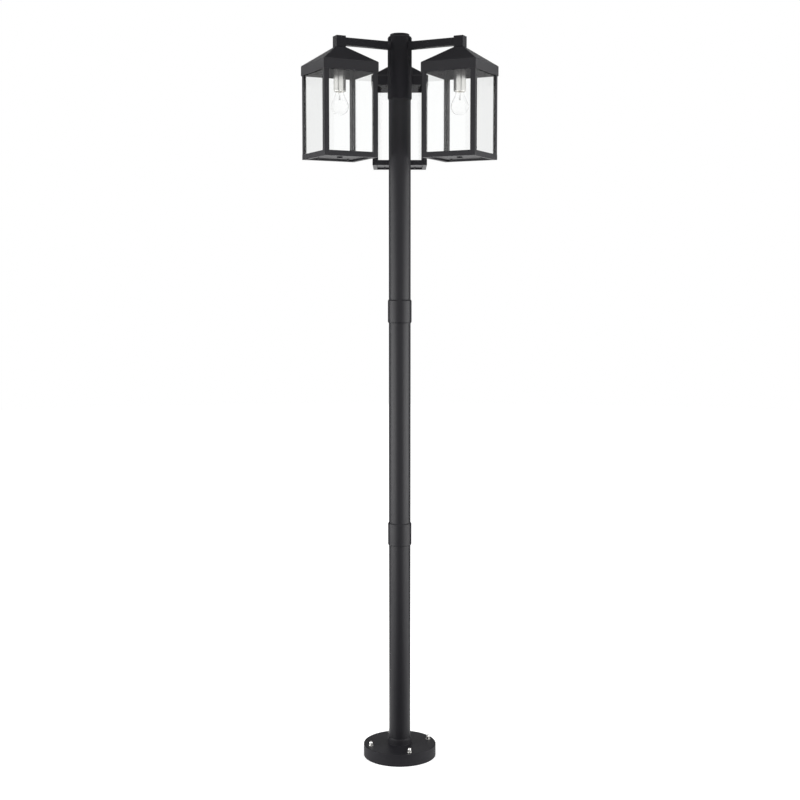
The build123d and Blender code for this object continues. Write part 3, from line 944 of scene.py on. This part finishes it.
# ---- Lantern frames ----
class LAMP_POST_OT_lantern_frames(Operator):
    """Corner angles, mitred rails and straps"""
    bl_idname = "lamp_post.lantern_frames"
    bl_label = "Lantern frames"

    def execute(self, context):
        sheet = context.scene.lamp_post_sheet
        half = half_width("rear_bottom_frame")
        for side in SIDES:
            span = heights(f"{side}_corner_posts")
            bm = copies(lambda: corner_angle(half, *span, sheet), quarter_turns())
            hang(side, "corner_angles", bm, powder_coat(), "lantern_black", "corner_posts")

            span = heights(f"{side}_bottom_frame")
            rails = copies(lambda: channel_rail(half, *span, sheet), quarter_turns())
            bm = joined(rails, straps(half, span[0], sheet))
            hang(side, "rails", bm, powder_coat(), "lantern_black", "bottom_frame")
        return {"FINISHED"}


def corner_angle(half, foot, top, sheet):
    """One folded angle at the corner where X and Y are positive."""
    leg = sheet.angle_leg
    bm = folded([(half, half - leg), (half, half), (half - leg, half)], top - foot, sheet.frame_fold)
    bm.transform(shift(z=(foot + top) / 2) @ rotate("X", -pi / 2))
    bm.transform(Matrix.Scale(-1, 4, (0, 1, 0)))
    outwards(bm, (0, 0, (foot + top) / 2))
    thickened(bm, sheet.frame_sheet)
    round_edges(bm, 0.25 * MM, sharper=50)
    return bm


def channel_rail(half, foot, top, sheet):
    """One channel on the side where X is positive, mitred at both ends."""
    inner = half - sheet.rail_lip
    inner_leg = 9 * MM
    spare = 10 * MM
    section = [(half, top), (half, foot), (inner, foot), (inner, foot + inner_leg)]
    bm = folded(section, 2 * half + spare, sheet.frame_fold * 0.6)
    outwards(bm, (half - sheet.rail_lip / 2, 0, foot + inner_leg / 2))
    thickened(bm, sheet.frame_sheet)
    for side in (1, -1):
        cut(bm, (half - sheet.mitre_gap / sqrt(2), side * half, 0), (-1, side, 0))
    round_edges(bm, 0.2 * MM, sharper=50)
    return bm


def straps(half, foot, sheet):
    """Two flat straps above the bottom plate."""
    well = half - sheet.rail_lip
    length, width = 2 * well - 0.2 * MM, 12 * MM
    strap_foot = foot + 7.5 * MM
    strap_top = strap_foot + sheet.frame_sheet
    places = [shift(y=side * (well - sheet.screw_inset)) for side in (1, -1)]
    return copies(lambda: box(length, width, strap_foot, strap_top, 0.2 * MM), places)


class LAMP_POST_OT_bottom_plates(Operator):
    """Bottom plates with their drains and screws"""
    bl_idname = "lamp_post.bottom_plates"
    bl_label = "Bottom plates"

    def execute(self, context):
        sheet = context.scene.lamp_post_sheet
        half = half_width("rear_bottom_plate")
        play = 0.3 * MM
        offset = half + play - sheet.screw_inset
        spots = [shift(x * offset, y * offset) for x in (1, -1) for y in (1, -1)]
        for side in SIDES:
            bm = drained_plate(half, *heights(f"{side}_bottom_plate"), sheet)
            hang(side, "floor_plate", bm, powder_coat(), "lantern_black", "bottom_plate")
            bm = copies(lambda: plate_screw(*heights(f"{side}_plate_screws")), spots)
            hang(side, "floor_screws", bm, black_oxide(), "black_steel", "plate_screws")
        return {"FINISHED"}


def drained_plate(half, drain_foot, top, sheet):
    """A square plate with a round drain pressed down in its middle."""
    segments = 64
    plate_foot = top - sheet.frame_sheet
    drain = sheet.drain / 2
    hole = 2.5 * MM
    bm = bmesh.new()
    bmesh.ops.create_circle(bm, cap_ends=False, segments=segments, radius=drain)
    square = bmesh.ops.create_circle(bm, cap_ends=False, segments=segments, radius=half)["verts"]
    for vert in square:
        vert.co *= half / sideways(vert.co)
    bmesh.ops.bridge_loops(bm, edges=bm.edges[:])
    rim = [edge for edge in bm.edges if edge.is_boundary and edge.verts[0].co.length < 2 * drain]
    for radius in (drain, hole):
        grown = bmesh.ops.extrude_edge_only(bm, edges=rim)["geom"]
        rim = [edge for edge in edges_in(grown) if edge.is_boundary]
        for vert in verts_in(grown):
            flat = Vector((vert.co.x, vert.co.y, 0)).normalized() * radius
            vert.co = flat + Vector((0, 0, drain_foot - plate_foot))
    bm.transform(shift(z=plate_foot))
    outwards(bm, (0, 0, top + half))
    round_edges(bm, 0.6 * MM, segments=3, sharper=60)
    return thickened(bm, sheet.frame_sheet)


def plate_screw(foot, top):
    """A screw with a rounded head below and a hexagon socket."""
    head, shank = 3.5 * MM, 2 * MM
    head_top = foot + 4 * MM
    slope = 0.4 * MM
    bm = pin([
        (0, foot), (head, foot), (head, head_top), (shank, head_top),
        (shank, top - slope), (shank - slope, top), (0, top),
    ])
    round_edges(bm, 0.5 * MM, segments=3, chosen=lambda edge: highest(edge) < foot + TOUCH)
    caps = [f for f in bm.faces if f.normal.z < -0.99 and f.calc_center_median().z < foot + NEAR]
    bmesh.ops.dissolve_faces(bm, faces=caps)
    socket_in(bm, foot, 2.5 * MM, 1.8 * MM)
    return bm


class LAMP_POST_OT_panes(Operator):
    """The clear panes"""
    bl_idname = "lamp_post.panes"
    bl_label = "Panes"

    def execute(self, context):
        half = half_width("rear_glass_panes")
        thickness = 3 * MM
        play = edge = 0.3 * MM
        width = 2 * (half - thickness - play)
        places = [turn @ shift(half - thickness / 2) for turn in quarter_turns()]
        for side in SIDES:
            span = heights(f"{side}_glass_panes")
            bm = copies(lambda: box(thickness, width, *span, edge, segments=1), places)
            hang(side, "window_panes", bm, pane_glass(), "pane_glass", "glass_panes")
        return {"FINISHED"}


# ---- Lamp holders ----
class LAMP_POST_OT_rods(Operator):
    """Hollow threaded rods and their nuts"""
    bl_idname = "lamp_post.rods"
    bl_label = "Rods"

    def execute(self, context):
        for side in SIDES:
            bm = threaded_pipe(*heights(f"{side}_threaded_rod"))
            hang(side, "threaded_pipe", bm, zinc_steel(), "zinc_steel", "threaded_rod", smooth=50)

            cover_top = heights(f"{side}_socket_cover")[1]
            roof_top = heights(f"{side}_roof")[1]
            feet = (roof_top - 6 * MM, cover_top, cover_top - 4.2 * MM)
            places = [shift(z=foot) for foot in feet]
            bm = copies(lambda: hexagon(16 * MM, 0, 3 * MM), places)
            hang(side, "lock_nuts", bm, zinc_steel(), "zinc_steel", "rod_nuts", smooth=22)
        return {"FINISHED"}


def threaded_pipe(foot, top):
    """A pipe with a fine thread all along it."""
    radius = 5 * MM
    pitch, depth = 1 * MM, 0.45 * MM
    steps = 24
    crest = []
    for lap in range(int((top - foot) / pitch) + 2):
        start = foot + (lap - 1) * pitch
        crest += [(radius, start), (radius, start + pitch * 0.2), (radius - depth, start + pitch * 0.6)]
    skin = threaded(crest, pitch, steps, foot, top)
    whole = joined(skin, turned([(ROD_BORE, foot), (ROD_BORE, top)], steps, closed=False))
    for height in (foot, top):
        rims = [
            edge for edge in whole.edges
            if edge.is_boundary and all(abs(vert.co.z - height) < NEAR for vert in edge.verts)
        ]
        bmesh.ops.bridge_loops(whole, edges=rims)
    return agree(whole)


class LAMP_POST_OT_socket_covers(Operator):
    """Drawn nickel cups around the lamp holders"""
    bl_idname = "lamp_post.socket_covers"
    bl_label = "Socket covers"

    def execute(self, context):
        radius = half_width("rear_socket_cover")
        for side in SIDES:
            bm = drawn_cup(*heights(f"{side}_socket_cover"), radius)
            hang(side, "nickel_cup", bm, polished_nickel(), "polished_nickel", "socket_cover")
        return {"FINISHED"}


def drawn_cup(foot, top, radius):
    """A cup closed at the top, with its mouth rolled inwards."""
    wall = 1.2 * MM
    roll = 3 * MM
    shoulder = 2.2 * MM
    mouth = (radius - roll, foot + roll)
    corner = (radius - shoulder, top - shoulder)
    return turned([
        (ROD_HOLE, top), *arc(corner, shoulder, 90, 0, 6), *arc(mouth, roll, 0, -90, 10),
        *arc(mouth, roll - wall, -90, 0, 8), *arc(corner, shoulder - wall, 0, 90, 4),
        (ROD_HOLE, top - wall),
    ])


class LAMP_POST_OT_lamp_holders(Operator):
    """Porcelain lamp holders and their brass shells"""
    bl_idname = "lamp_post.lamp_holders"
    bl_label = "Lamp holders"

    def execute(self, context):
        bulb = context.scene.lamp_post_bulb
        radius = half_width("rear_lamp_holder")
        bore = radius - 3.1 * MM
        shell_radius = 14.1 * MM
        for side in SIDES:
            foot, top = heights(f"{side}_lamp_holder")
            rod_foot = heights(f"{side}_threaded_rod")[0]
            shell = heights(f"{side}_screw_shell")
            bm = turned([
                (bore, foot), (radius, foot), (radius, top), (ROD_HOLE, top), (ROD_HOLE, rod_foot),
                (ROD_BORE, rod_foot), (ROD_BORE, shell[1]), (bore, shell[1]),
            ])
            round_edges(bm, 0.8 * MM, segments=3, chosen=lambda e: abs(e.verts[0].co.z - foot) < TOUCH)
            hang(side, "porcelain_body", bm, porcelain(), "porcelain", "lamp_holder")

            bm = screw_skin(*shell, shell_radius, bulb, bulb.thread_depth / 2)
            hang(side, "brass_shell", bm, lamp_brass(), "lamp_brass", "screw_shell", smooth=60)
        return {"FINISHED"}


def screw_skin(foot, top, radius, bulb, depth):
    """A rolled lamp thread in sheet metal."""
    pitch = bulb.thread_pitch
    per_lap = 12
    laps = int((top - foot) / pitch) + 3
    points = []
    for step in range(laps * per_lap + 1):
        wave = (1 - cos(2 * pi * step / per_lap)) / 2
        points.append((radius - depth * wave, foot + (step / per_lap - 1) * pitch))
    return thickened(threaded(points, pitch, 64, foot, top), bulb.skin)


# ---- Bulbs ----
class LAMP_POST_OT_bulbs(Operator):
    """Clear bulbs with their screw caps, stems and filaments"""
    bl_idname = "lamp_post.bulbs"
    bl_label = "Bulbs"

    def execute(self, context):
        bulb = context.scene.lamp_post_bulb
        radius = half_width("rear_bulb_glass")
        for side in SIDES:
            body = f"{side}_bulb"
            bm = envelope(*heights(f"{side}_bulb_glass"), radius, bulb.glass_wall)
            hang(side, "bulb_envelope", bm, bulb_clear_glass(), "bulb_glass", "bulb_glass",
                 body=body, weighted=False)

            skin, insulator = screw_cap(*heights(f"{side}_bulb_cap"), bulb)
            hang(side, "screw_cap", skin, cap_metal(), "bulb_cap_metal", "bulb_cap", body=body, smooth=60)
            hang(side, "cap_insulator", insulator, cap_insulator(), "bulb_cap_metal", body=body)

            foot, top = heights(f"{side}_bulb_mount")
            bm = glass_stem(foot, top)
            hang(side, "glass_stem", bm, bulb_clear_glass(), "bulb_mount_glass", "bulb_mount", body=body)
            bm = filament(foot, bulb.coil_turns)
            hang(side, "filament", bm, filament_wire(), "bulb_cap_metal", body=body)
        return {"FINISHED"}


def bulb_outline(foot, top, radius, neck, inset):
    """Half of the bulb's outline from its lowest point to its neck."""
    centre = foot + radius
    inner = radius - inset
    shoulder_turn = 24
    points = arc((0, centre), inner, -90, shoulder_turn, 26)
    points[0] = (0, centre - inner)
    start = Vector((*points[-1], 0))
    end = Vector((neck - inset, top, 0))
    turn = radians(shoulder_turn)
    lift = (top - start.y) / 3
    first = start + Vector((-sin(turn), cos(turn), 0)) * lift
    second = end - Vector((0, lift, 0))
    return points + [spot.xy[:] for spot in interpolate_bezier(start, first, second, end, 18)[1:]]


def envelope(foot, top, radius, wall):
    """A blown bulb with a wall, open at its neck."""
    neck = 12.8 * MM
    outer, inner = (bulb_outline(foot, top, radius, neck, inset) for inset in (0, wall))
    return turned(outer + inner[::-1], closed=False)


def screw_cap(foot, top, bulb):
    """The threaded skin with its solder contact, and the insulator between them."""
    radius = 13.25 * MM
    seat, contact = 9 * MM, 4.5 * MM    # outer radii of the insulator and of the contact
    thread_top = foot + 5 * bulb.thread_pitch
    contact_foot = top - 2 * MM
    seat_foot = contact_foot - 3.5 * MM
    skin = screw_skin(foot, thread_top, radius, bulb, bulb.thread_depth)
    cone = turned([
        (radius - 1.0 * MM, thread_top - 0.5 * MM), (seat, seat_foot),
        (seat - 0.3 * MM, seat_foot - 0.4 * MM), (radius - 1.3 * MM, thread_top - 0.9 * MM),
    ], SMALL_ROUND)
    solder = pin([
        (0, contact_foot - 0.2 * MM), (contact, contact_foot - 0.2 * MM),
        (contact - 0.3 * MM, top - 0.6 * MM), (2.5 * MM, top), (0, top),
    ])
    round_edges(solder, 0.4 * MM, segments=3, sharper=20)
    insulator = pin([
        (0, seat_foot - 0.5 * MM), (seat, seat_foot - 0.5 * MM), (seat, seat_foot + 0.3 * MM),
        (contact - 0.1 * MM, contact_foot), (0, contact_foot),
    ])
    round_edges(insulator, 0.3 * MM, sharper=20)
    return joined(skin, cone, solder), insulator


def glass_stem(foot, top):
    """A flared tube of glass, pinched flat where the leads come out."""
    tip = foot + STEM_TIP
    pinch = tip + 7 * MM
    bm = pin([
        (0, tip), (2.5 * MM, tip), (2.7 * MM, pinch), (3.6 * MM, pinch + 4 * MM), (4.5 * MM, top), (0, top),
    ])
    round_edges(bm, 0.5 * MM, segments=3)
    for vert in bm.verts:
        if vert.co.z < pinch + 1 * MM:
            vert.co.x *= 0.6
    return bm


def filament(foot, laps):
    """Leads, a support wire and a coiled filament between the leads."""
    height = foot + 0.6 * MM
    half = 4.5 * MM     # from the axis to a lead
    lead = 0.35 * MM
    tip = foot + STEM_TIP
    leads = copies(
        lambda: prism(lead, height - 0.5 * MM, tip + 6 * MM, 16),
        [shift(y=side * half) for side in (1, -1)],
    )
    support = prism(lead * 0.7, height + 0.3 * MM, tip + 2 * MM, 12)
    coil = bmesh.new()
    bmesh.ops.create_circle(coil, cap_ends=False, segments=8, radius=0.2 * MM)
    coil.transform(shift(0.9 * MM) @ rotate("X"))
    steps = 16
    sweep(coil, coil.verts[:] + coil.edges[:], steps, 2 * half / laps / steps, laps, (0, 1, 0))
    bmesh.ops.holes_fill(coil, edges=[edge for edge in coil.edges if edge.is_boundary], sides=0)
    agree(coil)
    coil.transform(shift(0, -half, height))
    return joined(leads, support, coil)


# ---- Stage ----
# Dark cards: distance from the post, angles from the camera's side, and heights.
FLAGS = {
    "low_flag": (0.8, (120, 150), (0.0, 0.6)),
    "middle_flag": (3.0, (114, 168), (0.0, 1.9)),
    "high_flag": (3.0, (121, 168), (1.9, 3.0)),
}
# Soft lights on the right side: place, height they face, and size.
LIGHTS = {
    "low_light": ((2.95, -0.96, 0.95), 0.95, (3.9, 1.4)),
    "side_light": ((3.08, -0.2, 2.3), 2.3, (2.9, 1.3)),
    "rear_light": ((2.5, 1.8, 2.5), 2.1, (1.0, 1.2)),
}


class LAMP_POST_OT_stage(Operator):
    """Floor, white surroundings, soft lights and camera"""
    bl_idname = "lamp_post.stage"
    bl_label = "Stage"

    def execute(self, context):
        stage = context.scene.lamp_post_stage
        floor = bmesh.new()
        bmesh.ops.create_circle(floor, cap_ends=True, segments=64, radius=14.0)
        meshed("studio_floor", floor, floor_white(stage))
        for side, name in ((1, "right"), (-1, "left")):
            for flag, (distance, turns, span) in FLAGS.items():
                black_flag(f"{flag}_{name}", upright_card(side, distance, turns, span))
            for light, ((x, y, z), aim, size) in LIGHTS.items():
                soft_light(f"{light}_{name}", (side * x, y, z), aim, size, getattr(stage, light))
        black_flag("flag_floor", level_card(0.9, -3.4, -0.2, 0.01))
        black_flag("flag_overhead", level_card(6, 0.5, 4.6, 4.7))
        soft_light("top_light", (0, -0.6, 4.6), 1.5, (3.0, 3.0), stage.top_light)
        surround(context.scene, stage)
        camera(context.scene, stage)
        context.scene.view_settings.view_transform = "Standard"
        return {"FINISHED"}


def surround(scene, stage):
    """A white room for the eye, for metal and for glass, and a softer one for the light it gives."""
    world = bpy.data.worlds.new("White room")
    world.use_nodes = True
    scene.world = world
    w = Weave(world)
    level = w.ranged(w.rays(*SEEN), stage.surround, 1.0, 0.0, 1.0)
    w.feed(w.tree.nodes["Background"], Color=(1, 1, 1, 1), Strength=level)


def camera(scene, stage):
    """The camera of the photo."""
    view = placed("view", bpy.data.cameras.new("view"))
    view.data.lens = stage.lens
    view.data.sensor_width = 36.0
    view.data.sensor_fit = "HORIZONTAL"
    view.location = (stage.camera_side, -stage.camera_back, stage.camera_height)
    view.rotation_euler = (pi / 2 - stage.camera_pitch, 0, 0)
    scene.camera = view


def upright_card(side, distance, turns, span):
    """Corners of a card that faces the post, with its ends as angles from the camera's side."""
    near, far = ((side * distance * sin(radians(t)), -distance * cos(radians(t))) for t in turns)
    foot, top = span
    return [(*near, foot), (*far, foot), (*far, top), (*near, top)]


def level_card(half, near, far, height):
    """Corners of a level card from half its width."""
    return [(-half, near, height), (half, near, height), (half, far, height), (-half, far, height)]


def black_flag(name, corners):
    """A large dark card, which shows in reflections alone."""
    bm = bmesh.new()
    bm.faces.new([bm.verts.new(corner) for corner in corners])
    card = meshed(name, bm, flag_cloth())
    for rays in ("camera", "diffuse", "transmission", "shadow"):
        setattr(card, f"visible_{rays}", False)


def soft_light(name, place, aim, size, power):
    """A rectangular soft light that faces a height on the post's axis."""
    light = placed(name, bpy.data.lights.new(name, "AREA"))
    light.data.shape = "RECTANGLE"
    light.data.size, light.data.size_y = size
    light.data.energy = power
    light.visible_camera = False
    light.location = place
    light.rotation_euler = (Vector((0, 0, aim)) - Vector(place)).to_track_quat("-Z", "Y").to_euler()
    light.light_linking.receiver_collection = spared_panes()


def spared_panes():
    """The flat panes, in which a soft light's own image would hide the bulb behind."""
    spared = bpy.data.collections.get("spared_panes")
    if not spared:
        spared = bpy.data.collections.new("spared_panes")
        for side in SIDES:
            spared.objects.link(bpy.data.objects[f"{side}_window_panes"])
        for member in spared.collection_objects:
            member.light_linking.link_state = "EXCLUDE"
    return spared


# ---- Add-on ----
PIECES = (
    LAMP_POST_OT_tubes, LAMP_POST_OT_couplers, LAMP_POST_OT_base, LAMP_POST_OT_anchor_nuts,
    LAMP_POST_OT_hub, LAMP_POST_OT_arms, LAMP_POST_OT_roofs, LAMP_POST_OT_lantern_frames,
    LAMP_POST_OT_bottom_plates, LAMP_POST_OT_panes, LAMP_POST_OT_rods, LAMP_POST_OT_socket_covers,
    LAMP_POST_OT_lamp_holders, LAMP_POST_OT_bulbs, LAMP_POST_OT_stage,
)


class LAMP_POST_PT_sidebar(Panel):
    """Lists the pieces of the lamp post"""
    bl_label = "Lamp Post"
    bl_idname = "LAMP_POST_PT_sidebar"
    bl_space_type = "VIEW_3D"
    bl_region_type = "UI"
    bl_category = "Lamp Post"

    def draw(self, context):
        for group in GROUPS:
            values = getattr(context.scene, group)
            column = self.layout.column()
            for name in values.__annotations__:
                column.prop(values, name)
        for piece in PIECES:
            self.layout.operator(piece.bl_idname)


GROUPS = {
    "lamp_post_metal": LampPostMetal,
    "lamp_post_sheet": LampPostSheet,
    "lamp_post_bulb": LampPostBulb,
    "lamp_post_finish": LampPostFinish,
    "lamp_post_stage": LampPostStage,
}
CLASSES = (*GROUPS.values(), *PIECES, LAMP_POST_PT_sidebar)


def register():
    for cls in CLASSES:
        bpy.utils.register_class(cls)
    for name, group in GROUPS.items():
        setattr(bpy.types.Scene, name, PointerProperty(type=group))


def unregister():
    for name in GROUPS:
        delattr(bpy.types.Scene, name)
    for cls in reversed(CLASSES):
        bpy.utils.unregister_class(cls)


def main():
    register()
    for piece in PIECES:
        group, name = piece.bl_idname.split(".")
        getattr(getattr(bpy.ops, group), name)()


if __name__ == "__main__":
    main()
